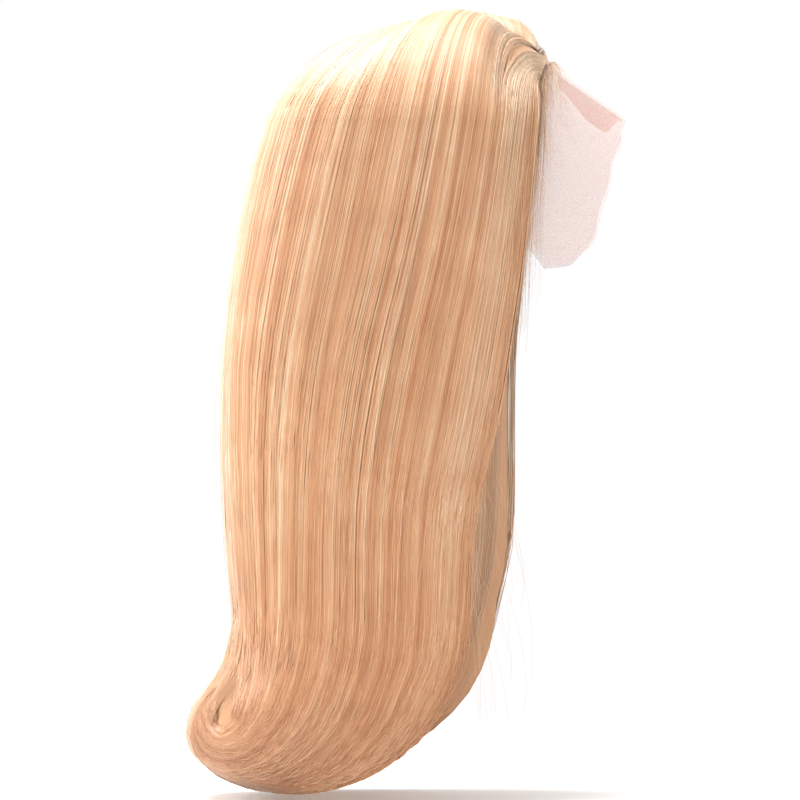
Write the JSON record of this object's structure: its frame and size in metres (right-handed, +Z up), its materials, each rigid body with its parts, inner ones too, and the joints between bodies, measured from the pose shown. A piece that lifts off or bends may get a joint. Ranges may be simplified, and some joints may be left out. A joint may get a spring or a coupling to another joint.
{
  "type": "full lace wig",
  "caption": "Full lace wig of long straight hair on a domed lace cap, with a side parting, untrimmed lace before the hairline and ends turned up in a roll at the back.",
  "frame": {"origin": "top of the head on the inside of the lace cap, where the wig sits", "axes": "+Z up, the wearer faces -Y, -X is the wearer's right"},
  "size_m": [0.2492, 0.3284, 0.5789],
  "materials": {
    "lace": "sheer pale pink net",
    "folded_lace": "sheer pale pink net, doubled",
    "hair": "smooth warm blonde hair with a soft sheen"
  },
  "bodies": {
    "root": {"lace_cap": "lace", "lace_front": "lace", "lace_fold": "folded_lace", "hair_right": "hair", "hair_back": "hair", "hair_left": "hair"}
  },
  "joints": []
}
